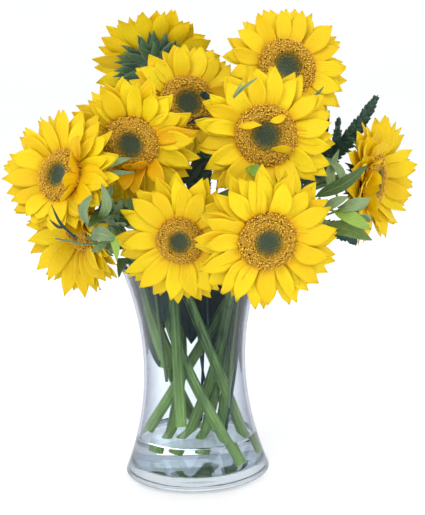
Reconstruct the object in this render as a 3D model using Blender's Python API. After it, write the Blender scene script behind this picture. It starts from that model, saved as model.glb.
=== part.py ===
"""Ten cut sunflowers with ferns, leafy sprays and leaves, standing in a flared glass vase.

Metres, +Z up. The origin is the middle of the vase's foot, where it stands, and the
arrangement faces -Y. Each flower is a stem, a calyx, a seed disc and a ring of petals.
The ring is one plain closed shell that holds the space of the petals.
"""

import math

import bmesh
import bpy
from mathutils import Vector
from mathutils.geometry import interpolate_bezier

MM = 0.001
GAP = 0.3 * MM  # between pieces that touch

# Vase: a waisted cylinder whose radius grows with the square of the distance from its waist
VASE_HEIGHT = 206 * MM
WAIST_HEIGHT = 108 * MM
WAIST_RADIUS = 49.7 * MM
FLARE = 1.93  # per metre
WALL = 4.2 * MM
FLOOR_TOP = 11 * MM
FOOT_RADIUS = 63 * MM
HEEL_HEIGHT = 5 * MM
GROOVE_DEPTH = 0.7 * MM
CORNER_RADIUS = 6 * MM  # inside, between wall and floor
VASE_SIDES = 30

# Water
WATER_TOP = 40 * MM

# Stems
FOOT_THICKNESS = 5.4 * MM  # radius at the cut end
NECK_THICKNESS = 4.0 * MM  # radius under the flower
MOUTH_PULL = 0.42  # how far a stem keeps its direction above the vase, of the way to its flower
NECK_PULL = 0.22
NECK_LENGTH = 3 * MM  # straight, behind the calyx

# Flower heads, in the head's own frame: its facing is +Z and the petals spring from z = 0
CALYX_DEPTH = 16 * MM
CALYX_BACK_RADIUS = 7 * MM
BRACT_REACH = 9 * MM  # past the disc's edge
BRACTS = 10
DISC_HEIGHT = 8 * MM
DISC_SIDES = 12
PETAL_TIPS = 15
PETAL_NOTCH = 0.8  # radius between two tips, of the radius at a tip
PETAL_CUP = 3 * MM  # how far the petals rise before their tips fall back
PETAL_THICKNESS = 1.2 * MM

# Each flower: centre and stem points in mm, then facing (turn from -Y towards +X and tilt
# up, in degrees), disc radius and petal radius in mm. A stem runs straight from its cut end
# through the waist to the mouth, then bends to the flower.
FLOWERS = {
    "top_left": dict(
        centre=(-27, 45, 391), turn=172, tilt=19, disc=26, petals=62,
        foot=(-30, 8, 16), waist=(-13, 14, 105), mouth=(-16, 28, 195),
    ),
    "upper_middle": dict(
        centre=(1, -20, 361), turn=15, tilt=14, disc=26, petals=56,
        foot=(52, 0, 16), waist=(22, -13, 105), mouth=(-11, -17, 195),
    ),
    "middle_left": dict(
        centre=(-48, -75, 331), turn=-12, tilt=-11, disc=25, petals=59,
        foot=(40, -34, 15), waist=(-5, -23, 105), mouth=(-34, -30, 195),
    ),
    "far_left": dict(
        centre=(-110, -92, 305), turn=-36, tilt=20, disc=23, petals=60,
        foot=(-24, -21, 108), waist=(-32, -22, 138), mouth=(-46, -26, 195),
    ),
    "low_left": dict(
        centre=(-102, -40, 250), turn=-60, tilt=-20, disc=22, petals=57,
        foot=(8, 38, 15), waist=(-28, 20, 105), mouth=(-52, 3, 195),
    ),
    "front_left": dict(
        centre=(-7, -105, 247), turn=-7, tilt=-9, disc=21, petals=58,
        foot=(-14, -36, 56), waist=(-15, -35, 105), mouth=(-17, -44, 195),
    ),
    "front_right": dict(
        centre=(68, -127, 248), turn=9, tilt=-9, disc=25, petals=63,
        foot=(-16, 8, 15), waist=(20, 4, 105), mouth=(38, -36, 195),
    ),
    "centre": dict(
        centre=(71, -75, 334), turn=2, tilt=6, disc=27, petals=62,
        foot=(-47, -6, 44), waist=(-7, -2, 105), mouth=(50, -4, 195),
    ),
    "top_right": dict(
        centre=(94, -15, 391), turn=12, tilt=20, disc=27, petals=59,
        foot=(3, 4, 15), waist=(26, 22, 105), mouth=(37, 34, 195),
    ),
    "far_right": dict(
        centre=(170, -25, 285), turn=62, tilt=-5, disc=26, petals=58,
        foot=(20, 26, 15), waist=(35, 8, 105), mouth=(49, 14, 195),
    ),
}

# Fern fronds: a thin stalk with a toothed blade along its last part
STALK_RADIUS = 1.5 * MM
BLADE_THICKNESS = 1.0 * MM
FERNS = {
    "fern_right_tall": dict(
        path=[(30, 34, 14), (20, 35, 105), (28, 48, 195), (92, 42, 272), (149, 12, 316), (182, 10, 362)],
        face=(0, -1, 0.3), width=22, start=0.70,
    ),
    "fern_right_narrow": dict(
        path=[(22, 45, 14), (6, 38, 105), (10, 52, 195), (84, 80, 255), (138, 58, 290), (149, 50, 340)],
        face=(0.5, -1, 0), width=16, start=0.72,
    ),
    "fern_upper_middle": dict(
        path=[(14, -13, 148), (16, -11, 195), (28, -28, 290), (40, -34, 350), (14, -42, 372)],
        face=(0, -1, 0.4), width=16, start=0.80,
    ),
    "fern_centre": dict(
        path=[(4, 20, 44), (8, 18, 105), (14, 4, 195), (8, -22, 260), (12, -40, 300), (26, -46, 322)],
        face=(-0.3, -1, 0.2), width=30, start=0.68,
    ),
    "fern_right_low": dict(
        path=[(28, -24, 46), (39, -13, 105), (52, -18, 195), (92, -45, 236), (128, -62, 246), (153, -60, 233)],
        face=(0, -1, 0.5), width=20, start=0.66,
    ),
}

# Leafy sprays: a twig with pointed oval leaves in pairs
TWIG_RADIUS = 1.3 * MM
SPRAYS = {
    "spray_left": dict(
        path=[
            (-26, -33, 100), (-30, -35, 145), (-34, -43, 195), (-39, -49, 214), (-53, -70, 232),
            (-69, -97, 246), (-87, -126, 249), (-112, -146, 258),
        ],
        pairs=3, start=0.80, leaf=(24, 11),
    ),
    "spray_right": dict(
        path=[(31, -26, 70), (34, -21, 105), (38, -23, 140), (49, -26, 195), (82, -52, 236), (135, -84, 266), (157, -88, 260)],
        pairs=3, start=0.74, leaf=(22, 11),
    ),
    "spray_back": dict(
        path=[(-22, 37, 70), (-14, 35, 105), (-22, 46, 195), (-44, 80, 245), (-62, 96, 300)],
        pairs=4, start=0.60, leaf=(26, 12),
    ),
}

# Single broad leaves, each with a short stalk
LEAVES = {
    "leaf_left_broad": dict(
        path=[(-34, -58, 244), (-52, -84, 262), (-70, -103, 271), (-84, -141, 266)],
        face=(-0.3, -1, 0.5), width=20, start=0.3,
    ),
    "leaf_left_narrow": dict(
        path=[(-48, -42, 210), (-58, -66, 226), (-64, -88, 212)], face=(-0.6, -1, 0.4), width=11, start=0.2,
    ),
    "leaf_middle": dict(
        path=[(-22, -30, 226), (-32, -50, 262), (-28, -54, 298)], face=(0, -1, 0.4), width=26, start=0.2,
    ),
    "leaf_right_blade": dict(
        path=[(92, -46, 262), (118, -72, 279), (140, -88, 291), (160, -92, 307)],
        face=(-0.2, -1, 0.3), width=15, start=0.3,
    ),
    "leaf_right_low": dict(
        path=[(106, -74, 244), (136, -94, 251), (162, -100, 241)], face=(0, -1, 0.6), width=18, start=0.2,
    ),
    "leaf_vase_left": dict(
        path=[(-30, 12, 214), (-27, -6, 180), (-22, -12, 146)], face=(-0.2, -1, 0), width=20, start=0.1,
    ),
    "leaf_back_left": dict(
        path=[(-30, 40, 214), (-70, 62, 258), (-104, 70, 270)], face=(0, 1, 0.5), width=44, start=0.2,
    ),
    "leaf_back_right": dict(
        path=[(26, 62, 218), (34, 96, 250), (40, 118, 254)], face=(0.2, 1, 0.7), width=42, start=0.2,
    ),
}

# Looks: colour, roughness, transmission
LOOKS = {
    "glass": ((0.90, 0.96, 1.0), 0.03, 1.0),
    "water": ((0.97, 1.0, 1.0), 0.0, 1.0),
    "stem": ((0.20, 0.33, 0.11), 0.50, 0.0),
    "calyx": ((0.13, 0.24, 0.10), 0.70, 0.0),
    "disc": ((0.28, 0.19, 0.02), 0.90, 0.0),
    "petals": ((0.90, 0.62, 0.01), 0.45, 0.0),
    "fern": ((0.02, 0.07, 0.04), 0.50, 0.0),
    "spray": ((0.28, 0.42, 0.20), 0.50, 0.0),
    "leaf": ((0.12, 0.20, 0.07), 0.60, 0.0),
}


def clear_scene():
    for obj in list(bpy.data.objects):
        bpy.data.objects.remove(obj, do_unlink=True)


def mm(point):
    return Vector(point) * MM


def finish(obj, look):
    """Give the object a material of its own."""
    colour, roughness, transmission = LOOKS[look]
    material = bpy.data.materials.new(f"{obj.name}_finish")
    material.use_nodes = True
    shader = material.node_tree.nodes["Principled BSDF"]
    shader.inputs["Base Color"].default_value = (*colour, 1)
    shader.inputs["Roughness"].default_value = roughness
    shader.inputs["Metallic"].default_value = 0.0
    shader.inputs["Transmission Weight"].default_value = transmission
    obj.data.materials.append(material)


def add_object(name, mesh, look=None):
    obj = bpy.data.objects.new(name, mesh)
    bpy.context.scene.collection.objects.link(obj)
    mesh.shade_smooth()
    mesh.set_sharp_from_angle(angle=math.radians(40))
    if look:
        finish(obj, look)
    return obj


def mesh_from(bm, name):
    bmesh.ops.recalc_face_normals(bm, faces=bm.faces[:])
    mesh = bpy.data.meshes.new(name)
    bm.to_mesh(mesh)
    bm.free()
    return mesh


def turned(name, profile, sides):
    """A closed mesh turned about Z from a profile of (radius, height) that starts and ends on the axis."""
    bm = bmesh.new()
    verts = [bm.verts.new((radius, 0, height)) for radius, height in profile]
    edges = [bm.edges.new(pair) for pair in zip(verts, verts[1:])]
    bmesh.ops.spin(
        bm, geom=verts + edges, cent=(0, 0, 0), axis=(0, 0, 1), angle=math.tau, steps=sides, use_merge=True
    )
    bmesh.ops.remove_doubles(bm, verts=bm.verts[:], dist=0.001 * MM)
    return mesh_from(bm, name)


def tube(name, points, radii, sides=8):
    """A closed tube through the points, with 6 or 8 sides."""
    curve = bpy.data.curves.new(name, "CURVE")
    curve.dimensions = "3D"
    curve.bevel_depth = 1.0
    curve.bevel_resolution = sides // 2 - 2
    curve.use_fill_caps = True
    spline = curve.splines.new("POLY")
    spline.points.add(len(points) - 1)
    for spot, point, radius in zip(spline.points, points, radii):
        spot.co = (*point, 1)
        spot.radius = radius
    swept = bpy.data.objects.new(name, curve)
    bm = bmesh.new()
    bm.from_mesh(swept.to_mesh())
    bmesh.ops.remove_doubles(bm, verts=bm.verts[:], dist=0.001 * MM)
    bpy.data.objects.remove(swept)
    bpy.data.curves.remove(curve)
    return mesh_from(bm, name)


def smooth_path(points, steps):
    """Points on a smooth curve through the given ones, with `steps` stretches between each two."""
    ends = [2 * points[0] - points[1], *points, 2 * points[-1] - points[-2]]
    path = []
    for before, start, end, after in zip(ends, ends[1:], ends[2:], ends[3:]):
        stretch = interpolate_bezier(
            start, start + (end - before) / 6, end - (after - start) / 6, end, steps + 1
        )
        path += stretch[:-1]
    return [*path, points[-1]]


def hide_cutter(obj):
    obj.hide_render = True
    obj.display_type = "WIRE"


def outer_radius(height):
    return WAIST_RADIUS + FLARE * (height - WAIST_HEIGHT) ** 2


def inner_radius(height):
    return outer_radius(height) - WALL


def arc(centre, radii, start, end, steps):
    """Points (radius, height) on an elliptical arc between two angles in degrees."""
    angles = [math.radians(start + (end - start) * i / steps) for i in range(steps + 1)]
    return [(centre[0] + radii[0] * math.cos(a), centre[1] + radii[1] * math.sin(a)) for a in angles]


def heights(low, high, steps):
    return [low + (high - low) * i / steps for i in range(steps + 1)]


def inside_profile(offset, top, steps):
    """The vase's inside from the axis up to `top`, moved in by `offset`."""
    corner = FLOOR_TOP + CORNER_RADIUS
    middle = (inner_radius(corner) - CORNER_RADIUS, corner)
    reach = CORNER_RADIUS - offset
    floor = [(0, FLOOR_TOP + offset), *arc(middle, (reach, reach), -90, 0, 3)]
    return floor + [(inner_radius(z) - offset, z) for z in heights(corner, top, steps)[1:]]


def make_vase():
    groove = HEEL_HEIGHT + GROOVE_DEPTH
    top = VASE_HEIGHT - WALL / 2
    heel = arc((FOOT_RADIUS, HEEL_HEIGHT), (outer_radius(HEEL_HEIGHT) - FOOT_RADIUS, HEEL_HEIGHT), -90, 0, 3)
    groove_points = [(outer_radius(groove) - GROOVE_DEPTH, groove)]
    wall = [(outer_radius(z), z) for z in heights(groove + GROOVE_DEPTH, top, 9)]
    rim = arc((outer_radius(top) - WALL / 2, top), (WALL / 2, WALL / 2), 0, 180, 4)[1:-1]
    inside = inside_profile(0, top, 8)[::-1]
    profile = [(0, 0), *heel, *groove_points, *wall, *rim, *inside]
    return add_object("vase", turned("vase", profile, VASE_SIDES), "glass")


def make_water(tubes):
    """The water, with a clearance round each stem and stalk that stands in it."""
    profile = [*inside_profile(GAP, WATER_TOP, 3), (0, WATER_TOP)]
    water = add_object("water", turned("water", profile, VASE_SIDES), "water")
    for name, (points, radius) in tubes.items():
        if points[0].z > WATER_TOP:
            continue
        below = points[0] + (points[0] - points[1]).normalized() * CORNER_RADIUS
        path = [below] + [p for p in points if p.z < WAIST_HEIGHT]
        cutter = add_object(f"{name}_cutter", tube(name, path, [radius + GAP] * len(path)))
        hide_cutter(cutter)
        cut = water.modifiers.new(name, "BOOLEAN")
        cut.object = cutter
        cut.operation = "DIFFERENCE"


def facing_of(flower):
    turn, tilt = math.radians(flower["turn"]), math.radians(flower["tilt"])
    return Vector((math.sin(turn) * math.cos(tilt), -math.cos(turn) * math.cos(tilt), math.sin(tilt)))


def make_head_frame(name, flower):
    """An empty at the flower's centre, with its +Z along the flower's facing."""
    frame = bpy.data.objects.new(f"{name}_head", None)
    bpy.context.scene.collection.objects.link(frame)
    frame.location = mm(flower["centre"])
    frame.rotation_euler = facing_of(flower).to_track_quat("Z", "Y").to_euler()
    return frame


def make_disc(name, radius, frame):
    """The seed disc: a low dome with a sunken middle."""
    h = DISC_HEIGHT
    profile = [
        (0, -2 * MM), (0.94 * radius, -2 * MM), (radius, 0), (radius, 0.45 * h), (0.88 * radius, 0.9 * h),
        (0.66 * radius, h), (0.36 * radius, 0.75 * h), (0, 0.7 * h),
    ]
    disc = add_object(f"disc_{name}", turned(name, profile, DISC_SIDES), "disc")
    disc.parent = frame


def make_calyx(name, radius, frame):
    """The green cup behind the petals, its edge drawn out into pointed bracts."""
    front = -2 * MM - GAP
    profile = [
        (0, front), (radius, front), (radius + 0.5 * MM, front - 1 * MM), (0.93 * radius, -6 * MM),
        (0.62 * radius, -11 * MM), (CALYX_BACK_RADIUS, -CALYX_DEPTH), (0, -CALYX_DEPTH),
    ]
    mesh = turned(name, profile, 2 * BRACTS)
    for vert in mesh.vertices:
        reach = math.hypot(vert.co.x, vert.co.y)
        column = round(math.atan2(vert.co.y, vert.co.x) / math.tau * 2 * BRACTS)
        if reach > radius + 0.2 * MM and column % 2:
            vert.co *= (reach + BRACT_REACH) / reach
            vert.co.z = front - 1.5 * MM
    calyx = add_object(f"calyx_{name}", mesh, "calyx")
    calyx.parent = frame


def make_petals(name, inner, outer, frame, phase):
    """The space of the petals: a thin cupped ring with a pointed edge."""
    bm = bmesh.new()
    columns = 2 * PETAL_TIPS
    rings = []
    for share, rise in ((0, 0), (0.45, PETAL_CUP), (1, PETAL_CUP / 3)):
        ring = []
        for column in range(columns):
            reach = outer * (1 if column % 2 else PETAL_NOTCH)
            radius = inner + share * (reach - inner)
            angle = math.tau * column / columns + phase
            ring.append(bm.verts.new((radius * math.cos(angle), radius * math.sin(angle), rise)))
        rings.append(ring)
    for low, high in zip(rings, rings[1:]):
        for i in range(columns):
            j = (i + 1) % columns
            bm.faces.new((low[i], high[i], high[j], low[j]))
    petals = add_object(f"petals_{name}", mesh_from(bm, name), "petals")
    petals.parent = frame
    thicken(petals, PETAL_THICKNESS)


def thicken(obj, thickness):
    solidify = obj.modifiers.new("thickness", "SOLIDIFY")
    solidify.thickness = thickness
    solidify.offset = 0


def stem_path(flower):
    """The stem's middle line and its radius at each point."""
    foot, waist, mouth = (mm(flower[key]) for key in ("foot", "waist", "mouth"))
    facing = facing_of(flower)
    end = mm(flower["centre"]) - facing * (CALYX_DEPTH + GAP)
    neck = end - facing * NECK_LENGTH
    way = (neck - mouth).length
    along = (mouth - waist).normalized()
    lower = smooth_path([foot, waist, mouth], 4)
    upper = interpolate_bezier(mouth, mouth + along * MOUTH_PULL * way, neck - facing * NECK_PULL * way, neck, 10)
    path = [*lower[:-1], *upper, end]
    last = len(path) - 1
    radii = [FOOT_THICKNESS + (NECK_THICKNESS - FOOT_THICKNESS) * i / last for i in range(last + 1)]
    return path, radii


def make_flower(name, flower, number):
    frame = make_head_frame(name, flower)
    disc = flower["disc"] * MM
    make_disc(name, disc, frame)
    make_calyx(name, disc, frame)
    make_petals(name, disc + 2 * GAP, flower["petals"] * MM, frame, number)
    path, radii = stem_path(flower)
    add_object(f"stem_{name}", tube(name, path, radii), "stem")
    return path, radii[0]


def blade(path, face, half_widths, fold):
    """A folded strip along the path, as a bmesh: one row of three points for each half width."""
    bm = bmesh.new()
    rows = []
    last = len(path) - 1
    for i, (point, half) in enumerate(zip(path, half_widths)):
        along = (path[min(i + 1, last)] - path[max(i - 1, 0)]).normalized()
        side = along.cross(face).normalized()
        up = side.cross(along)
        places = (point - side * half + up * fold * half, point, point + side * half + up * fold * half)
        rows.append([bm.verts.new(place) for place in places])
    for near, far in zip(rows, rows[1:]):
        bm.faces.new((near[0], far[0], far[1], near[1]))
        bm.faces.new((near[1], far[1], far[2], near[2]))
    return bm


def leaf_widths(count, start, half, least):
    """Half widths of a leaf whose blade begins at `start` of its length, after a narrow stalk."""
    widths = []
    for i in range(count):
        share = max(0.0, (i / (count - 1) - start) / (1 - start))
        widths.append(max(least, half * math.sin(math.pi * share ** 0.8) ** 0.8))
    return widths


def make_leaf(name, leaf):
    path = smooth_path([mm(p) for p in leaf["path"]], 5)
    widths = leaf_widths(len(path), leaf["start"], leaf["width"] * MM / 2, STALK_RADIUS)
    obj = add_object(name, mesh_from(blade(path, Vector(leaf["face"]), widths, 0.25), name), "leaf")
    thicken(obj, BLADE_THICKNESS)


def join_to(obj, other):
    """Unite the other body with the object."""
    hide_cutter(other)
    union = obj.modifiers.new(other.name, "BOOLEAN")
    union.object = other
    union.operation = "UNION"


def make_fern(name, fern):
    """A round stalk, and a blade whose edge steps in and out as teeth."""
    path = smooth_path([mm(p) for p in fern["path"]], 4)
    stalk = add_object(name, tube(name, path, [STALK_RADIUS] * len(path), 6), "fern")
    first = round(fern["start"] * (len(path) - 1))
    spine = smooth_path(path[first:-1], 2)
    last = len(spine) - 1
    half = fern["width"] * MM / 2
    widths = []
    for i in range(last + 1):
        taper = math.sin(math.pi * min(1.0, 0.12 + 0.88 * i / last)) ** 0.7
        widths.append(max(0.8 * STALK_RADIUS, half * taper * (1 if i % 2 else 0.6)))
    frond = add_object(f"{name}_blade", mesh_from(blade(spine, Vector(fern["face"]), widths, 0), name))
    thicken(frond, BLADE_THICKNESS)
    join_to(stalk, frond)
    return path, STALK_RADIUS


def oval_leaf(bm, root, direction, face, length, width):
    """A pointed lens: eight points round its edge and one on each face."""
    side = direction.cross(face).normalized()
    up = side.cross(direction).normalized()
    outline = ((0, 0.12), (0.3, 0.9), (0.62, 0.9), (1, 0), (0.62, -0.9), (0.3, -0.9), (0, -0.12))
    edge = [
        bm.verts.new(root + direction * along * length + side * across * width / 2) for along, across in outline
    ]
    middle = root + direction * length * 0.45
    top, bottom = bm.verts.new(middle + up * BLADE_THICKNESS), bm.verts.new(middle - up * BLADE_THICKNESS)
    for one, other in zip(edge, edge[1:] + edge[:1]):
        bm.faces.new((one, other, top))
        bm.faces.new((other, one, bottom))


def make_spray(name, spray):
    """A twig, and leaves in pairs turned a quarter from one pair to the next."""
    path = smooth_path([mm(p) for p in spray["path"]], 4)
    last = len(path) - 1
    radii = [TWIG_RADIUS * (1 - 0.4 * i / last) for i in range(last + 1)]
    twig = add_object(name, tube(name, path, radii, 6), "spray")
    length, width = (size * MM for size in spray["leaf"])
    for pair in range(spray["pairs"]):
        share = spray["start"] + (0.94 - spray["start"]) * pair / (spray["pairs"] - 1)
        spot = round(share * last)
        point, along = path[spot], (path[spot] - path[spot - 1]).normalized()
        across = along.cross(Vector((0, -1, 0.4))).normalized()
        out = across if pair % 2 else along.cross(across).normalized()
        for sign in (1, -1):
            bm = bmesh.new()
            direction = (out * sign + along * 0.9).normalized()
            root = point + along * sign * TWIG_RADIUS - direction * TWIG_RADIUS / 2
            oval_leaf(bm, root, direction, along - out * sign, length, width)
            leaf = add_object(f"{name}_leaf_{pair}_{sign}", mesh_from(bm, name))
            join_to(twig, leaf)
    return path, TWIG_RADIUS


def main():
    clear_scene()
    make_vase()
    standing = {}
    for number, (name, flower) in enumerate(FLOWERS.items()):
        standing[f"stem_{name}"] = make_flower(name, flower, number)
    for name, fern in FERNS.items():
        standing[name] = make_fern(name, fern)
    for name, spray in SPRAYS.items():
        standing[name] = make_spray(name, spray)
    for name, leaf in LEAVES.items():
        make_leaf(name, leaf)
    make_water(standing)


main()
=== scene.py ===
# %% [markdown]
# # Sunflowers in a glass vase
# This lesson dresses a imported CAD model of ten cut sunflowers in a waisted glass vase. The CAD
# model settles where every flower, stem and leaf is. Here each plain solid is replaced by the
# real thing: ribbed and hairy stems, bracts, packed florets, separate petals, fronds, clear glass
# and water. Everything is in metres, with +Z up and the arrangement facing -Y.

import math

import bmesh
import bpy
import numpy as np
from mathutils import Matrix, Vector


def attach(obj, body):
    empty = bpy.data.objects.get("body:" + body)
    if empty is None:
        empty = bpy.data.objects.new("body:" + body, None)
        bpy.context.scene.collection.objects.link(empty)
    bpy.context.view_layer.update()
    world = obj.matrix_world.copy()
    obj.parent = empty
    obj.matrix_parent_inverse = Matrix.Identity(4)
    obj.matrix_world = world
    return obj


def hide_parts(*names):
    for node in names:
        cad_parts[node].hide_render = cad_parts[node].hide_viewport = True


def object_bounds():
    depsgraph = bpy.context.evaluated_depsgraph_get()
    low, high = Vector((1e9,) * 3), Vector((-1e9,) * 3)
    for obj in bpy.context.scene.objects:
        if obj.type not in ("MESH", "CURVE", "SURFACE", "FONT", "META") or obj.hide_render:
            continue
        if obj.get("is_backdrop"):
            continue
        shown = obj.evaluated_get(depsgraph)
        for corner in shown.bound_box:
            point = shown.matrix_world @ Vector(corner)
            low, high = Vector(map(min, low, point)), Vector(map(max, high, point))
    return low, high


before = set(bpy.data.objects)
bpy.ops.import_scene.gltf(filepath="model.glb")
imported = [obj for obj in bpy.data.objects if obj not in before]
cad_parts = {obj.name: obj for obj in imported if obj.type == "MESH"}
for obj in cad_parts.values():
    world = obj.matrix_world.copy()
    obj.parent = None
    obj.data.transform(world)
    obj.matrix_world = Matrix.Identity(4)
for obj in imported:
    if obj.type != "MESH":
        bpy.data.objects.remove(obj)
cad_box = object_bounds()
MM = 0.001
FLOWERS = sorted(name.removeprefix("disc_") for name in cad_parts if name.startswith("disc_"))
print(f"{len(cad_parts)} CAD nodes, {len(FLOWERS)} flowers")


# %% [markdown]
# ## Reading the CAD model
# A CAD node arrives as loose triangles, so its corners are merged on a copy before anything is
# measured. A seed disc is round about the way that its flower faces, so the direction in which its
# corners spread least is that facing. The petals node gives how far the petals reach.

# %% Measure the flower heads
RING_HEIGHT = 2 * MM  # where the petals leave the disc, over its back


def merged(node):
    """A CAD node's separate corners and its triangles."""
    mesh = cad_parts[node].data
    places = np.empty(len(mesh.vertices) * 3)
    mesh.vertices.foreach_get("co", places)
    loops = np.empty(len(mesh.loops), np.int64)
    mesh.loops.foreach_get("vertex_index", loops)
    points, index = np.unique(places.reshape(-1, 3).round(6), axis=0, return_inverse=True)
    return points, index.reshape(-1)[loops].reshape(-1, 3)


def measure_head(name):
    """The head's own frame, with +Z as its facing and +Y up, its disc radius and its petals' reach."""
    disc, calyx, petals = (merged(f"{kind}_{name}")[0] for kind in ("disc", "calyx", "petals"))
    middle = disc.mean(axis=0)
    facing = np.linalg.svd(disc - middle)[2][2]
    facing *= np.sign(facing @ (middle - calyx.mean(axis=0)))
    base = ((disc - middle) @ facing).min() + RING_HEIGHT
    up = np.array((0, 0, 1)) - facing * facing[2]
    up /= np.linalg.norm(up)
    centre = middle + facing * base
    matrix = Matrix.Translation(centre) @ Matrix((np.cross(up, facing), up, facing)).transposed().to_4x4()

    def reach(points):
        rays = points - centre
        return np.linalg.norm(rays - np.outer(rays @ facing, facing), axis=1).max()

    return dict(matrix=matrix, disc=reach(disc), petals=reach(petals))


HEADS = {name: measure_head(name) for name in FLOWERS}


# %% [markdown]
# A stem is a tube of rings with eight corners each. The rings are found by walking: the cut end's
# rim is the eight corners nearest the lowest one, and each next ring is every unseen neighbour of
# the last. The middle of each ring is a point of the stem's middle line.

# %% Walk up the stems
TUBE_SIDES = 8


def middle_line(node):
    """The middles and the radii of a tube's rings, from its foot up."""
    points, faces = merged(node)
    links = {i: set() for i in range(len(points))}
    for face in faces:
        for corner in face:
            links[corner].update(face)
    lowest = points[points[:, 2].argmin()]
    ring = set(np.argsort(np.linalg.norm(points - lowest, axis=1))[:TUBE_SIDES].tolist())
    seen, middles, radii = set(), [], []
    while ring:
        seen |= ring
        corners = points[sorted(ring)]
        middles.append(corners.mean(axis=0))
        radii.append(np.linalg.norm(corners - middles[-1], axis=1).mean())
        ring = set().union(*(links[i] for i in ring)) - seen
    return np.array(middles), np.array(radii)


STEMS = {name: middle_line(f"stem_{name}") for name in FLOWERS}
for name, (line, radii) in STEMS.items():
    length = np.linalg.norm(np.diff(line, axis=0), axis=1).sum()
    print(f"stem {name}: {len(line)} rings, {length / MM:.0f} mm long, {2 * radii[0] / MM:.1f} mm thick")


# %% [markdown]
# ## Small helpers
# Shader trees and Geometry Nodes trees are both made of nodes whose inputs are either set to a
# value or joined to another node's output, so one short function serves both. Each material
# starts from Principled BSDF, with its uniform numbers set on that shader's own sockets.

# %% Node helpers
def node(tree, kind, inputs=None, out=0, **settings):
    """A new node of the tree, with its inputs set or joined; what comes back is one of its outputs."""
    made = tree.nodes.new(kind)
    for key, value in settings.items():
        setattr(made, key, value)
    for key, value in (inputs or {}).items():
        if isinstance(value, bpy.types.NodeSocket):
            tree.links.new(value, made.inputs[key])
        else:
            made.inputs[key].default_value = value
    return made.outputs[out]


def maths(tree, operation, *values):
    return node(tree, "ShaderNodeMath", dict(enumerate(values)), operation=operation)


def remap(tree, value, low, high, to_low=0.0, to_high=1.0):
    """The value's range low..high stretched to another range, and held at its ends."""
    return node(tree, "ShaderNodeMapRange", {0: value, 1: low, 2: high, 3: to_low, 4: to_high})


def blend(tree, share, a, b):
    """Colour a turned to colour b by a share."""
    return node(tree, "ShaderNodeMix", {0: share, 6: a, 7: b}, 2, data_type="RGBA")


def tint(tree, body, mask, amount, colour):
    """The body's colour turned to another by up to the amount, where the mask is 1."""
    return blend(tree, maths(tree, "MULTIPLY", mask, amount), body, colour)


def noise(tree, place, scale, stretch=(1, 1, 1)):
    spot = node(tree, "ShaderNodeMapping", {"Vector": place, "Scale": stretch})
    return node(tree, "ShaderNodeTexNoise", {"Vector": spot, "Scale": scale, "Detail": 3.0})


def rgb(red, green, blue):
    """A colour given as 0..255 screen values, in the linear values that shaders take."""
    screen = (red / 255, green / 255, blue / 255)
    return (*[x / 12.92 if x <= 0.04045 else ((x + 0.055) / 1.055) ** 2.4 for x in screen], 1.0)


def new_material(name, roughness, **values):
    """A material, its tree and its Principled BSDF."""
    made = bpy.data.materials.new(name)
    made.use_nodes = True
    shader = made.node_tree.nodes["Principled BSDF"]
    shader.inputs["Roughness"].default_value = roughness
    for key, value in values.items():
        shader.inputs[key.replace("_", " ")].default_value = value
    return made, made.node_tree, shader


def object_place(tree):
    return node(tree, "ShaderNodeTexCoord", out="Object")


def surface(tree):
    """Across and along, from the piece's own UV map."""
    split = tree.nodes.new("ShaderNodeSeparateXYZ")
    tree.links.new(node(tree, "ShaderNodeUVMap", uv_map="surface"), split.inputs[0])
    return split.outputs[0], split.outputs[1]


def attribute(tree, name):
    return node(tree, "ShaderNodeAttribute", out="Fac", attribute_name=name)


def bumped(tree, shader, height, distance, strength):
    bump = node(tree, "ShaderNodeBump", {"Strength": strength, "Distance": distance, "Height": height})
    tree.links.new(bump, shader.inputs["Normal"])


def added(name, data):
    """A new object in the scene."""
    obj = bpy.data.objects.new(name, data)
    bpy.context.scene.collection.objects.link(obj)
    return obj


def mesh_of(bm, name):
    """The edited mesh as a stored one."""
    mesh = bpy.data.meshes.new(name)
    bm.to_mesh(mesh)
    bm.free()
    return mesh


def plain_mesh(maker, name):
    """What the maker's modifiers or curve give, as a plain mesh. The maker itself goes."""
    graph = bpy.context.evaluated_depsgraph_get()
    mesh = bpy.data.meshes.new_from_object(maker.evaluated_get(graph), depsgraph=graph)
    mesh.name = name
    bpy.data.objects.remove(maker)
    return mesh
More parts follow.
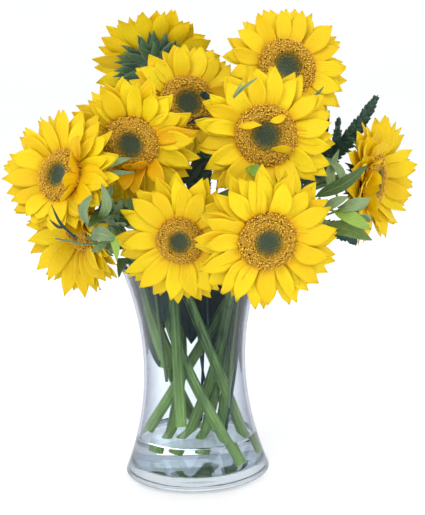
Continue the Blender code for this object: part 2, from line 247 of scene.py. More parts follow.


# %% [markdown]
# ## Petals, the finish
# A ray petal is lemon yellow, deeper and more orange where it leaves the disc, with fine veins
# that run its whole length. The veins follow the petal, so they are drawn along its own UV map:
# across is 0 to 1 from edge to edge, and along is 0 to 1 from root to tip. Each petal also
# carries a tone, a number from 0 to 1 that shifts it a little from its neighbours. A tone below
# zero marks a folded petal and turns it orange: painted shade for the inside of the fold.

# %% Petal material
def petal_material():
    made, tree, shader = new_material("petal", 0.55, Subsurface_Weight=0.12, Subsurface_Scale=0.002)
    shader.inputs["Subsurface Radius"].default_value = (1.0, 0.7, 0.05)
    shader.inputs["Specular IOR Level"].default_value = 0.25
    across, along = surface(tree)
    tone = attribute(tree, "tone")
    body = blend(tree, remap(tree, tone, 0.0, 1.0), rgb(230, 191, 4), rgb(240, 212, 14))
    # painted shade: a tone below zero turns a folded petal orange, for the shade inside its fold
    body = blend(tree, remap(tree, tone, -1.0, 0.0, 0.9, 0.0), body, rgb(232, 140, 6))
    root = remap(tree, along, 0.0, 0.28, 1.0, 0.0)
    body = tint(tree, body, root, 0.6, rgb(232, 156, 4))
    place = object_place(tree)
    mottle = remap(tree, noise(tree, place, 90.0), 0.35, 0.75)
    body = tint(tree, body, mottle, 0.25, rgb(228, 178, 2))
    strands = maths(tree, "ADD", maths(tree, "MULTIPLY", across, 62.0), maths(tree, "MULTIPLY", tone, 9.0))
    vein = maths(tree, "SINE", strands)
    groove = remap(tree, vein, 0.35, 1.0)
    faded = maths(tree, "MULTIPLY", groove, remap(tree, along, 0.1, 1.0, 0.30, 0.12))
    body = blend(tree, faded, body, rgb(214, 142, 0))
    tree.links.new(body, shader.inputs["Base Color"])
    bumped(tree, shader, maths(tree, "SUBTRACT", 1.0, groove), 0.0004, 0.55)
    return made


PETAL = petal_material()


# %% [markdown]
# ## Petals, the shape
# A petal is a thin boat-shaped sheet: narrow at its root, widest near the middle, with a pointed
# or slightly notched tip, a channel along its middle and edges that wave. Nine different petals
# are made as grids, and Geometry Nodes then sets a few dozen of them round each disc. Making one
# petal and copying it would look stamped, and making every one by hand isn't needed once each
# copy has its own turn, size and tone, and the whole ring is bent by a slow noise afterwards.

# %% Petal shapes
PETAL_LENGTH, PETAL_WIDTH = 38 * MM, 16.5 * MM
PETAL_COLUMNS, PETAL_ROWS = 8, 13
PETAL_KINDS, PETAL_SEED = 9, 4
HALF_WIDTHS = ((0, 0.62), (0.12, 0.80), (0.28, 0.97), (0.45, 1.0), (0.62, 0.96), (0.76, 0.74),
               (0.88, 0.39), (1, 0.02))


def interpolate(table, x):
    return float(np.interp(x, [row[0] for row in table], [row[1] for row in table]))


def grid_mesh(name, columns, rows, place):
    """A grid whose corners come from place(across, along), with those two numbers as its UV map."""
    bm = bmesh.new()
    uv = bm.loops.layers.uv.new("surface")
    spots = {}
    for j in range(rows + 1):
        for i in range(columns + 1):
            vertex = bm.verts.new(place(i / columns, j / rows))
            spots[vertex] = (i / columns, j / rows)
    bm.verts.ensure_lookup_table()
    for j in range(rows):
        for i in range(columns):
            first = j * (columns + 1) + i
            corners = (first, first + 1, first + columns + 2, first + columns + 1)
            face = bm.faces.new([bm.verts[k] for k in corners])
            face.smooth = True
            for loop in face.loops:
                loop[uv].uv = spots[loop.vert]
    return mesh_of(bm, name)


def petal_mesh(name, rng):
    """One petal, root at the origin, running along +Y with its upper face to +Z."""
    length = PETAL_LENGTH * rng.uniform(0.94, 1.04)
    half = PETAL_WIDTH / 2 * rng.uniform(0.86, 1.12)
    channel, arch, droop = rng.uniform(0.8, 2.0) * MM, rng.uniform(-0.5, 2.5) * MM, rng.uniform(-5, 4) * MM
    sway, twist = rng.uniform(-3, 3) * MM, math.radians(rng.uniform(-22, 22))
    wave, phase = rng.uniform(0.5, 1.3) * MM, rng.uniform(0, 2 * math.pi)
    notch = rng.choice((0.0, 0.0, 0.8, 1.6)) * MM
    lean = rng.uniform(-0.25, 0.25)

    def place(across, along):
        side = 2 * across - 1
        width = half * interpolate(HALF_WIDTHS, along)
        x = side * width + sway * math.sin(math.pi * along) + lean * half * along ** 3
        y = length * along - notch * math.exp(-((side - 0.2) / 0.35) ** 2) * along ** 8
        z = channel * side ** 2 * math.sin(math.pi * min(1, 0.15 + along))
        z += arch * math.sin(math.pi * along)
        z += droop * along ** 2 + wave * abs(side) ** 3 * math.sin(9 * along + phase + 2 * side) * along
        z += 0.22 * MM * math.cos(3 * math.pi * side)
        turn = twist * along ** 2
        over = z - droop * along ** 2
        return x * math.cos(turn) - over * math.sin(turn), y, z * math.cos(turn) + x * math.sin(turn)

    return grid_mesh(name, PETAL_COLUMNS, PETAL_ROWS, place)


def shape_collection(name, meshes):
    """Shapes kept out of the scene, for instancing, and numbered, since they are picked by name."""
    made = bpy.data.collections.new(name)
    for number, mesh in enumerate(meshes):
        made.objects.link(bpy.data.objects.new(f"{name}_{number}", mesh))
    return made


rng = np.random.default_rng(PETAL_SEED)
PETAL_SHAPES = shape_collection("petal_shape", [petal_mesh(f"petal_{i}", rng) for i in range(PETAL_KINDS)])
print(PETAL_KINDS, "petal shapes of", PETAL_COLUMNS * PETAL_ROWS, "faces")


# %% [markdown]
# ## A tree that sets shapes on points
# Petals, florets, bracts and leaflets are all shapes set at given points with given turns. The
# points are the corners of a small mesh that carries each shape's turn, size, kind and tone as
# attributes. The tree instances the shapes, realizes them, bends them all by a slow noise,
# which makes each copy different, and joins them to a core if one is given.

# %% Shapes on points
def geometry_tree(name, inputs):
    """A tree with a geometry in and out and the named inputs, and its input node."""
    tree = bpy.data.node_groups.new(name, "GeometryNodeTree")
    tree.interface.new_socket("Geometry", in_out="INPUT", socket_type="NodeSocketGeometry")
    for label, kind in inputs.items():
        tree.interface.new_socket(label, in_out="INPUT", socket_type=f"NodeSocket{kind}")
    tree.interface.new_socket("Geometry", in_out="OUTPUT", socket_type="NodeSocketGeometry")
    return tree, tree.nodes.new("NodeGroupInput").outputs


def close_tree(tree, geometry, material):
    """Ends the tree in Realize Instances and Set Material."""
    real = node(tree, "GeometryNodeRealizeInstances", {"Geometry": geometry})
    last = node(tree, "GeometryNodeSetMaterial", {"Geometry": real, "Material": material})
    tree.links.new(last, tree.nodes.new("NodeGroupOutput").inputs[0])


def named(tree, name, kind="FLOAT"):
    return node(tree, "GeometryNodeInputNamedAttribute", {"Name": name}, data_type=kind)


def built(name, data, tree, values, solid=0.0):
    """Runs a tree on some data and keeps the result as a plain mesh object."""
    maker = added(f"{name}_maker", data)
    modifier = maker.modifiers.new("nodes", "NODES")
    modifier.node_group = tree
    sockets = {s.name: s.identifier for s in tree.interface.items_tree if s.in_out == "INPUT"}
    for label, value in values.items():
        modifier[sockets[label]] = value
    if solid:
        thick = maker.modifiers.new("thickness", "SOLIDIFY")
        thick.thickness, thick.offset = solid, 0.0
    return added(name, plain_mesh(maker, name))


def placing_tree():
    inputs = {"Shapes": "Collection", "Core": "Object", "Bend": "Float", "Bend Size": "Float",
              "Seed": "Float", "Material": "Material"}
    tree, given = geometry_tree("shapes_on_points", inputs)
    shapes = node(tree, "GeometryNodeCollectionInfo",
                  {"Collection": given["Shapes"], "Separate Children": True, "Reset Children": True})
    turn = node(tree, "FunctionNodeEulerToRotation", {0: named(tree, "turn", "FLOAT_VECTOR")})
    placed = node(tree, "GeometryNodeInstanceOnPoints", {
        "Points": given["Geometry"], "Instance": shapes, "Pick Instance": True,
        "Instance Index": named(tree, "kind", "INT"), "Rotation": turn,
        "Scale": named(tree, "size", "FLOAT_VECTOR")})
    real = node(tree, "GeometryNodeRealizeInstances", {"Geometry": placed})
    field = node(tree, "ShaderNodeTexNoise",
                 {"W": given["Seed"], "Scale": given["Bend Size"], "Detail": 1.0}, 1, noise_dimensions="4D")
    push = node(tree, "ShaderNodeVectorMath", {0: field, 1: (0.5, 0.5, 0.5)}, operation="SUBTRACT")
    push = node(tree, "ShaderNodeVectorMath", {0: push, "Scale": given["Bend"]}, operation="SCALE")
    bent = node(tree, "GeometryNodeSetPosition", {"Geometry": real, "Offset": push})
    core = node(tree, "GeometryNodeObjectInfo", {"Object": given["Core"]}, "Geometry")
    whole = tree.nodes.new("GeometryNodeJoinGeometry")
    for part in (core, bent):
        tree.links.new(part, whole.inputs[0])
    close_tree(tree, whole.outputs[0], given["Material"])
    return tree


def points_mesh(name, rows):
    """A mesh of loose corners: each row has a place, a turn, a size, a kind and a tone."""
    mesh = bpy.data.meshes.new(name)
    mesh.from_pydata([row["place"] for row in rows], [], [])
    for label, kind, field in (("turn", "FLOAT_VECTOR", "vector"), ("size", "FLOAT_VECTOR", "vector"),
                               ("kind", "INT", "value"), ("tone", "FLOAT", "value")):
        layer = mesh.attributes.new(label, kind, "POINT")
        for item, row in zip(layer.data, rows):
            setattr(item, field, row[label])
    return mesh


PLACING = placing_tree()


def placed(name, rows, shapes, material, core=None, bend=0.0, bend_size=1.0, seed=0, thickness=0.0):
    """A piece made of shapes set on the points that the rows give."""
    values = {"Shapes": shapes, "Bend": bend, "Bend Size": bend_size, "Seed": float(seed),
              "Material": material}
    if core:
        values["Core"] = core
    return built(name, points_mesh(f"{name}_points", rows), PLACING, values, thickness)


# %% [markdown]
# ## The rings of petals
# A florist's sunflower has some forty or fifty petals in three rows. The front row leans forward
# over the disc's rim, the middle row lies flat, and the back row leans back, filling the gaps.
# Each ring is worked out in its head's own frame, with +Z as its facing, and then moved there.
# A few flowers have petals that fold forward, turn to one side or curl over the disc, and these
# are given one by one: the angle is anticlockwise from the frame's +X, seen from in front. Three
# heads that are seen from the side are also cupped and pulled longer on one side.

# %% Petal rings
PETAL_THICKNESS, RIM_INSET = 0.3 * MM, 1.5 * MM
RING_BEND, RING_BEND_SIZE = 6 * MM, 40.0
SCATTER, ROLL, SHIFT = 0.22, 13, 0.5  # share of the spacing, degrees, mm
ROWS = (  # petals, lean forward, height over the ring, share of the full length
    (15, (6, 18), 1.4, (0.84, 0.98)),
    (17, (0, 8), 0.3, (0.95, 1.05)),
    (16, (-8, 0), -0.9, (1.0, 1.08)),
)
FOLDED = {  # (angle, lean, roll, length) of single petals, in degrees and as a share
    "middle_left": ((-60, 120, 12, 0.50), (-84, 126, -8, 0.52), (-106, 122, 12, 0.50),
                    (-130, 116, -12, 0.46), (-72, 66, 10, 0.9), (-98, 72, -8, 0.9), (-120, 60, 12, 0.9),
                    (-45, 52, -10, 0.9), (10, 8, 0, 1.12)),
    "far_left": ((20, 66, -12, 0.8), (-8, 74, 10, 0.85), (-34, 60, 14, 0.8), (48, 45, 8, 0.8)),
    "centre": ((160, 140, 24, 0.60), (48, 136, -24, 0.66), (-34, 138, 28, 0.58)),
    "far_right": ((-130, 54, -10, 0.8), (-152, 58, -24, 0.7), (64, 6, -34, 1.05), (84, 8, -44, 1.1),
                  (104, 10, -48, 1.05), (124, 14, -46, 1.0), (146, 20, -36, 0.95), (168, 28, -20, 0.9),
                  (112, 42, -40, 0.95), (134, 52, -40, 0.95), (158, 64, -26, 0.8), (184, 74, -8, 0.62)),
    "upper_middle": ((20, 40, 8, 0.9), (-40, 52, 0, 0.85)),
    "low_left": ((60, 48, -14, 0.8), (35, 56, 10, 0.8), (222, 26, -22, 1.0), (240, 18, -34, 1.05),
                 (258, 12, -44, 1.05), (276, 10, -48, 1.0), (296, 10, -44, 0.95), (316, 12, -34, 0.9)),
}
# side of the ring, and how far the petals there lean forward
CUPPED = {"far_right": (0, 42), "far_left": (185, 28), "low_left": (205, 48)}
# side of the ring, and the share by which the petals there are longer
STRETCHED = {"far_right": (0, 0.10), "far_left": (278, -0.30), "low_left": (208, 0.32)}
# the tone of the folded petals, and that of the heads not named here; a tone below zero is painted shade
FOLD_TONE_AND_SHADE, OTHER_FOLD_SHADE = {"middle_left": -0.4, "low_left": 0.3, "far_right": 0.2}, -0.1
OVER_DISC, CURLED = 90, 130  # leans past which a petal lies over its disc, and is a narrow curl
FOLD_HEIGHT, OVER_HEIGHT = 2.2, 7.0  # mm over the ring
CURL_WIDTH, CURL_TONE = 0.5, 0.4
RING_SEED = {"top_left": 3, "upper_middle": 5, "middle_left": 7, "far_left": 11, "low_left": 13,
             "front_left": 17, "front_right": 19, "centre": 23, "top_right": 29, "far_right": 31}


def petal_rows(name, head, rng):
    """Where each petal of one head goes, in the head's own frame."""
    rim = head["disc"] - RIM_INSET
    full = (head["petals"] - rim) / PETAL_LENGTH
    rows = []
    side, cup = CUPPED.get(name, (0, 0))
    long_side, stretch = STRETCHED.get(name, (0, 0))

    def add(angle, lean, roll, length, height, width=1.0, tone=None):
        turned = math.radians(angle)
        length *= 1 + stretch * max(0.0, math.cos(turned - math.radians(long_side)))
        lean += cup * max(0.0, math.cos(turned - math.radians(side)))
        rows.append(dict(
            place=(rim * math.cos(turned), rim * math.sin(turned), height * MM),
            turn=(math.radians(lean), math.radians(roll), turned - math.pi / 2),
            size=(full ** 0.3 * width, full * length, full * length),
            kind=int(rng.integers(PETAL_KINDS)),
            tone=float(rng.uniform()) if tone is None else tone))

    for count, lean, height, length in ROWS:
        start = rng.uniform(0, 360)
        for i in range(count):
            angle = start + 360 * (i + rng.uniform(-SCATTER, SCATTER)) / count
            add(angle, rng.uniform(*lean), rng.uniform(-ROLL, ROLL), rng.uniform(*length),
                height + rng.uniform(-SHIFT, SHIFT), rng.uniform(0.92, 1.12))
    for angle, lean, roll, length in FOLDED.get(name, ()):
        height = OVER_HEIGHT if lean > OVER_DISC else FOLD_HEIGHT
        if lean > CURLED:
            add(angle, lean, roll, length, height, CURL_WIDTH, CURL_TONE)
        else:
            add(angle, lean, roll, length, height, 1.0, FOLD_TONE_AND_SHADE.get(name, OTHER_FOLD_SHADE))
    return rows


def in_place(obj, matrix):
    """Moves the mesh, not the object, from a head's own frame to its place."""
    obj.data.transform(matrix)
    obj.data.update()
    return obj


def rides(obj, slot, *nodes):
    """The piece's body and the CAD nodes that it stands for, which are hidden. The slot is not used."""
    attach(obj, "root")
    if nodes:
        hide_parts(*nodes)
    return obj


def make_petals(name, head):
    rng = np.random.default_rng(RING_SEED[name])
    ring = placed(f"petal_ring_{name}", petal_rows(name, head, rng), PETAL_SHAPES, PETAL, None,
                  RING_BEND, RING_BEND_SIZE, RING_SEED[name], PETAL_THICKNESS)
    return rides(in_place(ring, head["matrix"]), "petals", f"petals_{name}")


for name, head in HEADS.items():
    ring = make_petals(name, head)
print("last ring:", len(ring.data.polygons), "faces")


# %% [markdown]
# ## Seed discs
# The middle of a sunflower is some hundreds of florets packed on the golden angle, each turned
# 137.5 degrees from the last and a little further out. The young ones in the middle are closed
# green buds in a shallow dish. The ones outside are open: small gold stars with a brown column
# of pollen. The same tree sets them on a low dome, and each floret's tone is its share of the
# way out, so one material colours them all.

# %% Floret material
def floret_material():
    made, tree, shader = new_material("florets", 0.7)
    out, rise = attribute(tree, "tone"), surface(tree)[1]
    low = blend(tree, remap(tree, out, 0.40, 0.56), rgb(56, 74, 52), rgb(188, 128, 20))
    high = blend(tree, remap(tree, out, 0.30, 0.50), rgb(88, 108, 84), rgb(190, 166, 44))
    high = blend(tree, remap(tree, out, 0.50, 0.66), high, rgb(252, 212, 62))
    body = blend(tree, remap(tree, rise, 0.35, 0.9), low, high)
    speck = remap(tree, noise(tree, object_place(tree), 700.0), 0.45, 0.75)
    body = tint(tree, body, speck, 0.35, rgb(112, 66, 10))
    tree.links.new(body, shader.inputs["Base Color"])
    bumped(tree, shader, noise(tree, object_place(tree), 1500.0), 0.0003, 0.6)
    return made


FLORET = floret_material()

# %% Floret shapes and domes
GOLDEN_ANGLE = math.pi * (3 - math.sqrt(5))
CORE_SIDES = 32


def turned(name, profile, sides, wobble=None):
    """A mesh turned from (radius, height) pairs, going up or outwards, with its wraps as a UV map.
    wobble(turn, share) multiplies the radius."""
    bm = bmesh.new()
    uv = bm.loops.layers.uv.new("surface")
    rings = []
    for j, (radius, height) in enumerate(profile):
        share = j / (len(profile) - 1)
        if radius == 0:
            rings.append([bm.verts.new((0, 0, height))] * sides)
            continue
        ring = []
        for i in range(sides):
            turn = 2 * math.pi * i / sides
            far = radius * (wobble(turn, share) if wobble else 1)
            ring.append(bm.verts.new((far * math.cos(turn), far * math.sin(turn), height)))
        rings.append(ring)
    for j, (low, high) in enumerate(zip(rings, rings[1:])):
        for i in range(sides):
            k = (i + 1) % sides
            corners = list(dict.fromkeys((low[i], low[k], high[k], high[i])))
            if len(corners) < 3:
                continue
            face = bm.faces.new(corners)
            face.smooth = True
            for loop in face.loops:
                up = j + 1 if loop.vert in (high[i], high[k]) else j
                loop[uv].uv = ((i + (loop.vert in (low[k], high[k]))) / sides, up / (len(profile) - 1))
    bmesh.ops.recalc_face_normals(bm, faces=bm.faces)
    return mesh_of(bm, name)


def mm_profile(*pairs):
    return [(radius * MM, height * MM) for radius, height in pairs]


def core_object(name, profile):
    """A turned shape, kept out of the scene, that a tree joins to what it places."""
    return bpy.data.objects.new(name, turned(name, profile, CORE_SIDES))


def star(turn, share):
    """Swells a floret's rim into five lobes."""
    return 1 + 0.45 * math.cos(5 * turn) * max(0.0, share - 0.5) * 2


FLORET_SHAPES = shape_collection("floret_shape", [
    turned("bud", mm_profile((0.75, -0.6), (0.95, 0.3), (0.62, 1.2), (0, 1.7)), 6),
    turned("opening", mm_profile((0.6, -0.8), (0.85, 0.8), (0.78, 1.9), (0.3, 2.8), (0, 3.0)), 6),
    turned("open", mm_profile((0.5, -1.0), (0.7, 1.0), (1.45, 2.5), (0.35, 2.2), (0.3, 3.1), (0, 3.3)),
           10, star),
    turned("column", mm_profile((0.45, -1.0), (0.5, 1.5), (0.8, 3.0), (0.75, 4.2), (0, 4.6)), 5),
])
DOME = ((0, 2.6), (0.2, 3.2), (0.42, 5.2), (0.62, 6.2), (0.8, 5.6), (0.94, 3.4), (1.0, 1.6))
FLORETS = 1150
BUDS, OPENING = 0.43, 0.56  # shares of the way out, up to which the florets are buds, and half open
FLORET_REACH = 0.96  # of the disc's radius
DRAWN_FOR = 29 * MM  # the disc radius that the floret shapes are drawn for
CORE_SINK = 0.6  # mm from the dome down to its solid core
SLOPE_STEP = 0.03  # share of the way out over which the dome's slope is taken, either way
DISC_SEED, CALYX_SEED = 100, 200  # added to the ring's seed


def disc_rows(radius, rng):
    """Where the florets of one disc go, and how each stands off the dome."""
    rows = []
    for i in range(FLORETS):
        share = math.sqrt((i + 0.5) / FLORETS)
        angle = i * GOLDEN_ANGLE
        far = share * radius
        rise = interpolate(DOME, share + SLOPE_STEP) - interpolate(DOME, share - SLOPE_STEP)
        slope = rise * MM / (2 * SLOPE_STEP * radius)
        kind = 0 if share < BUDS else 1 if share < OPENING else int(rng.choice((1, 2, 2, 3)))
        tilt = max(-0.5, min(1.0, -math.atan(slope))) + rng.uniform(-0.18, 0.18)
        size = radius / DRAWN_FOR * rng.uniform(0.88, 1.15)
        rows.append(dict(
            place=(far * math.cos(angle), far * math.sin(angle), interpolate(DOME, share) * MM),
            turn=(0.0, tilt, angle), size=(size, size, size * rng.uniform(0.8, 1.2)), kind=kind,
            tone=share + rng.uniform(-0.05, 0.05)))
    return rows


def make_disc(name, head):
    rng = np.random.default_rng(RING_SEED[name] + DISC_SEED)
    radius = FLORET_REACH * head["disc"]
    dome = [(share * radius, (height - CORE_SINK) * MM) for share, height in DOME[::-1]]
    core = core_object(f"dome_{name}", [(0.0, -RING_HEIGHT), (radius, -RING_HEIGHT), *dome])
    disc = placed(f"florets_{name}", disc_rows(radius, rng), FLORET_SHAPES, FLORET, core)
    return rides(in_place(disc, head["matrix"]), "disc", f"disc_{name}")


for name, head in HEADS.items():
    disc = make_disc(name, head)
print("last disc:", len(disc.data.polygons), "faces")


# %% [markdown]
# ## Calyxes
# Behind the petals is a green cup, and on it stand rows of pointed bracts. They are most of what
# is seen of a flower that has its back to us. They are dull, a little blue, with a paler edge
# and a few veins, and their tips curl away from the petals.

# %% Bract material
def bract_material():
    made, tree, shader = new_material("bracts", 0.62, Sheen_Weight=0.15)
    across, along = surface(tree)
    side = maths(tree, "ABSOLUTE", maths(tree, "SUBTRACT", across, 0.5))
    body = blend(tree, attribute(tree, "tone"), rgb(38, 70, 60), rgb(70, 104, 64))
    body = blend(tree, remap(tree, along, 0.55, 1.0, 0.0, 0.6), body, rgb(120, 146, 78))
    body = blend(tree, remap(tree, side, 0.40, 0.5, 0.0, 0.55), body, rgb(140, 160, 92))
    vein = remap(tree, maths(tree, "SINE", maths(tree, "MULTIPLY", across, 44.0)), 0.5, 1.0)
    body = tint(tree, body, vein, 0.35, rgb(38, 66, 44))
    mottle = remap(tree, noise(tree, object_place(tree), 260.0), 0.4, 0.75)
    body = tint(tree, body, mottle, 0.4, rgb(46, 74, 46))
    tree.links.new(body, shader.inputs["Base Color"])
    bumped(tree, shader, noise(tree, object_place(tree), 900.0), 0.0004, 0.5)
    return made


BRACT = bract_material()

# %% Bracts on their cups
BRACT_LENGTH, BRACT_WIDTH, BRACT_THICKNESS = 24 * MM, 11 * MM, 0.5 * MM
BRACT_GRID, BRACT_KINDS, BRACT_SEED = (4, 8), 5, 9
CALYX_BEND, CALYX_BEND_SIZE = 5 * MM, 60.0
BRACT_WIDTHS = ((0, 0.7), (0.2, 1.0), (0.45, 0.86), (0.7, 0.46), (0.88, 0.18), (1, 0.02))


def bract_mesh(name, rng):
    """One bract, root at the origin, running along +Y. Its tip curls down."""
    curl, cup = rng.uniform(1, 6) * MM, rng.uniform(1.0, 1.8) * MM
    sway = rng.uniform(-2, 2) * MM

    def place(across, along):
        side = 2 * across - 1
        x = side * BRACT_WIDTH / 2 * interpolate(BRACT_WIDTHS, along) + sway * along ** 2
        return x, BRACT_LENGTH * along, cup * side ** 2 - curl * along ** 3

    return grid_mesh(name, *BRACT_GRID, place)


rng = np.random.default_rng(BRACT_SEED)
BRACT_SHAPES = shape_collection("bract_shape", [bract_mesh(f"bract_{i}", rng) for i in range(BRACT_KINDS)])
BRACT_ROWS = (  # bracts, share of the disc's radius, height, lean, length
    (15, 0.60, -9.5, (-16, -4), 0.90),
    (17, 0.78, -6.5, (-12, 2), 0.92),
    (17, 0.93, -4.4, (-8, 4), 0.80),
)
# the cup's radius and height: radii over 1 are in mm, and the others are shares of the disc's
CUP = ((0.0, -16.4), (4.4, -16.4), (7.5, -15.2), (11, -12.8), (16, -10.0), (0.86, -6.6), (1.0, -2.6),
       (0.9, -1.8), (0.0, -1.8))


def make_calyx(name, head):
    rng = np.random.default_rng(RING_SEED[name] + CALYX_SEED)
    disc = head["disc"]
    rows = []
    for count, share, height, lean, length in BRACT_ROWS:
        start = rng.uniform(0, 2 * math.pi)
        for i in range(count):
            angle = start + 2 * math.pi * (i + rng.uniform(-0.15, 0.15)) / count
            size = length * rng.uniform(0.86, 1.08)
            rows.append(dict(
                place=(share * disc * math.cos(angle), share * disc * math.sin(angle), height * MM),
                turn=(math.radians(rng.uniform(*lean)), math.radians(rng.uniform(-10, 10)),
                      angle - math.pi / 2),
                size=(size, size, size), kind=int(rng.integers(BRACT_KINDS)), tone=float(rng.uniform())))
    cup = core_object(f"cup_{name}", [(r * disc if r <= 1 else r * MM, z * MM) for r, z in CUP])
    calyx = placed(f"bracts_{name}", rows, BRACT_SHAPES, BRACT, cup, CALYX_BEND, CALYX_BEND_SIZE,
                   RING_SEED[name], BRACT_THICKNESS)
    return rides(in_place(calyx, head["matrix"]), "calyx", f"calyx_{name}")


for name, head in HEADS.items():
    calyx = make_calyx(name, head)
print("last calyx:", len(calyx.data.polygons), "faces")


# %% [markdown]
# ## Stems
# A sunflower stem is thick, ridged and streaked, with short stiff hairs, and florists cut it
# straight across, which shows its pale pith. The tree sweeps a circle along the measured middle
# line, stores how far round and along each corner is, pushes the skin in and out by that, and
# plants hairs on it. Hairs only stand above the water, because wet ones lie flat.

# %% Stem material
def stem_material():
    made, tree, shader = new_material("stem_skin", 0.42, Subsurface_Weight=0.06, Subsurface_Scale=0.002)
    around, along = attribute(tree, "around"), attribute(tree, "along")
    place = object_place(tree)
    body = blend(tree, remap(tree, noise(tree, place, 30.0), 0.3, 0.7), rgb(54, 90, 38), rgb(100, 138, 64))
    streak = remap(tree, maths(tree, "SINE", maths(tree, "MULTIPLY", around, 50.0)), 0.2, 1.0)
    body = tint(tree, body, streak, 0.5, rgb(150, 180, 104))
    dark = remap(tree, noise(tree, place, 190.0, (1, 1, 0.12)), 0.48, 0.66)
    body = tint(tree, body, dark, 0.8, rgb(30, 58, 26))
    wet = remap(tree, along, 0.02, 0.12, 0.5, 0.0)
    body = blend(tree, wet, body, rgb(146, 182, 98))
    cell = remap(tree, noise(tree, place, 420.0), 0.4, 0.7)
    pith = blend(tree, cell, rgb(206, 214, 158), rgb(150, 168, 100))
    body = blend(tree, remap(tree, along, 0.0002, 0.0008, 1.0, 0.0), body, pith)
    tree.links.new(body, shader.inputs["Base Color"])
    fine = maths(tree, "ADD", streak, noise(tree, place, 900.0, (1, 1, 0.2)))
    bumped(tree, shader, fine, 0.0004, 0.7)
    return made


STEM_SKIN = stem_material()

# %% Ribbed stem tree
STEM_SIDES, STEM_RIBS, STEM_RINGS, RIDGE = 30, 9, 110, 0.26 * MM
HAIR_DENSITY, DRY_ABOVE = 60000.0, 0.055  # hairs on a square metre, and the height they start at


def stored(tree, curve, name, out):
    """The curve, with how far along it each point is kept under a name."""
    value = node(tree, "GeometryNodeSplineParameter", out=out)
    return node(tree, "GeometryNodeStoreNamedAttribute",
                {"Geometry": curve, "Name": name, "Value": value}, domain="POINT")


def stem_tree():
    inputs = {"Rings": "Int", "Ridge": "Float", "Hair": "Object", "Hairs": "Float", "Dry Above": "Float",
              "Seed": "Int", "Material": "Material"}
    tree, given = geometry_tree("ribbed_stem", inputs)
    path = node(tree, "GeometryNodeResampleCurve", {"Curve": given["Geometry"], "Count": given["Rings"]})
    path = stored(tree, path, "along", "Length")
    circle = node(tree, "GeometryNodeCurvePrimitiveCircle", {"Resolution": STEM_SIDES, "Radius": 1.0})
    circle = stored(tree, circle, "around", "Factor")
    skin = node(tree, "GeometryNodeCurveToMesh", {
        "Curve": path, "Profile Curve": circle, "Scale": named(tree, "radius"), "Fill Caps": True})
    turn = maths(tree, "MULTIPLY", named(tree, "around"), 2 * math.pi)
    rib = maths(tree, "SINE", maths(tree, "MULTIPLY", turn, float(STEM_RIBS)))
    lump = node(tree, "ShaderNodeTexNoise", {"Scale": 70.0, "Detail": 2.0})
    push = maths(tree, "ADD", rib, maths(tree, "SUBTRACT", lump, 0.9))
    push = maths(tree, "MULTIPLY", push, given["Ridge"])
    offset = node(tree, "ShaderNodeVectorMath",
                  {0: node(tree, "GeometryNodeInputNormal"), "Scale": push}, operation="SCALE")
    beyond = maths(tree, "GREATER_THAN", named(tree, "along"), 0.0001)
    skin = node(tree, "GeometryNodeSetPosition", {"Geometry": skin, "Selection": beyond, "Offset": offset})
    height = node(tree, "ShaderNodeSeparateXYZ", {0: node(tree, "GeometryNodeInputPosition")}, 2)
    spots = tree.nodes.new("GeometryNodeDistributePointsOnFaces")
    for socket, value in (("Mesh", skin), ("Density", given["Hairs"]), ("Seed", given["Seed"]),
                          ("Selection", maths(tree, "GREATER_THAN", height, given["Dry Above"]))):
        tree.links.new(value, spots.inputs[socket])
    size = node(tree, "FunctionNodeRandomValue", {"Min": 0.5, "Max": 1.2, "Seed": given["Seed"]}, 1)
    hair = node(tree, "GeometryNodeObjectInfo", {"Object": given["Hair"], "As Instance": True}, "Geometry")
    hairs = node(tree, "GeometryNodeInstanceOnPoints", {
        "Points": spots.outputs["Points"], "Instance": hair, "Rotation": spots.outputs["Rotation"],
        "Scale": size})
    whole = tree.nodes.new("GeometryNodeJoinGeometry")
    for part in (hairs, skin):
        tree.links.new(part, whole.inputs[0])
    smooth = node(tree, "GeometryNodeSetShadeSmooth", {"Geometry": whole.outputs[0], "Shade Smooth": True})
    close_tree(tree, smooth, given["Material"])
    return tree


RIBBED = stem_tree()
HAIR = bpy.data.objects.new("hair", turned("hair", mm_profile((0.09, -0.1), (0.05, 0.8), (0, 1.5)), 3))


def smooth_line(points, steps):
    """A smooth line through the points, with `steps` stretches between each two."""
    points = [Vector(p) for p in points]
    ends = [2 * points[0] - points[1], *points, 2 * points[-1] - points[-2]]
    line = []
    for before, start, end, after in zip(ends, ends[1:], ends[2:], ends[3:]):
        for i in range(steps):
            t = i / steps
            square = (2 * before - 5 * start + 4 * end - after) * t ** 2
            cube = (3 * start - before - 3 * end + after) * t ** 3
            line.append(0.5 * (2 * start + (end - before) * t + square + cube))
    return [*line, points[-1]]


def line_curve(name, line, radii):
    """A curve through the points, with a radius at each."""
    curve = bpy.data.curves.new(name, "CURVE")
    curve.dimensions = "3D"
    spline = curve.splines.new("POLY")
    spline.points.add(len(line) - 1)
    for point, place, radius in zip(spline.points, line, radii):
        point.co, point.radius = (*place, 1.0), radius
    return curve


for number, (name, (line, radii)) in enumerate(STEMS.items()):
    dense = smooth_line(line, 4)
    thick = np.interp(np.linspace(0, 1, len(dense)), np.linspace(0, 1, len(radii)), radii)
    values = {"Rings": STEM_RINGS, "Ridge": RIDGE, "Hair": HAIR, "Hairs": HAIR_DENSITY,
              "Dry Above": DRY_ABOVE, "Seed": number, "Material": STEM_SKIN}
    stem = built(f"stem_skin_{name}", line_curve(f"line_{name}", dense, thick), RIBBED, values)
    rides(stem, "stem", f"stem_{name}")
print("last stem:", len(stem.data.polygons), "faces")


# %% [markdown]
# ## Greenery along a path
# Fern fronds, leafy sprays and single leaves follow the same routes as in the CAD model, given
# here in millimetres again. On each route the way forward, the leaf's face and the side between
# them make a small frame, and leaflets are set from it. A frond's leaflets are longest in its
# lower third. A spray's oval leaves stand in pairs, each pair a quarter turn from the last.

# %% Green materials
SIDE_VEINS, VEIN_SLANT = 8, 0.55


